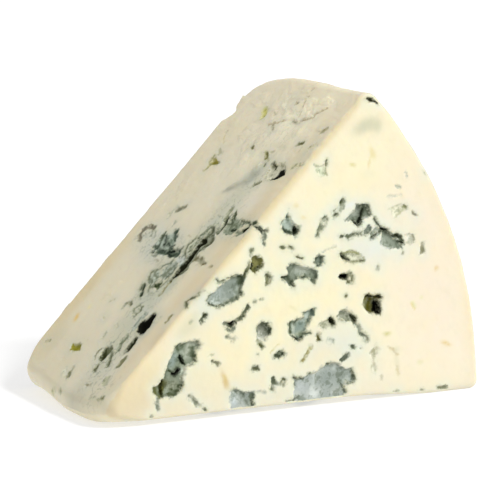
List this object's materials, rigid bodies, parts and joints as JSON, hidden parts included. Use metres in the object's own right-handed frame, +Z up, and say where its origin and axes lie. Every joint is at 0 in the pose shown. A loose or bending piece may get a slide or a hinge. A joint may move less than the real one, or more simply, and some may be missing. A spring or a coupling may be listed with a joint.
{
  "type": "blue cheese wedge",
  "caption": "Wedge of blue-veined cheese standing on one cut side, with a rounded tip, a curved rim and pores and veins in its cut faces.",
  "frame": {"origin": "centre of the bounding box's underside, on the surface the wedge stands on", "axes": "+X from the tip towards the rim, +Y from the upright cut front towards the skin of the back, +Z up"},
  "size_m": [0.0957, 0.0502, 0.0702],
  "materials": {
    "cheese_paste": "moist ivory paste with blue-grey mould veins and dark pores"
  },
  "bodies": {
    "root": {"cheese_wedge": "cheese_paste"}
  },
  "joints": []
}
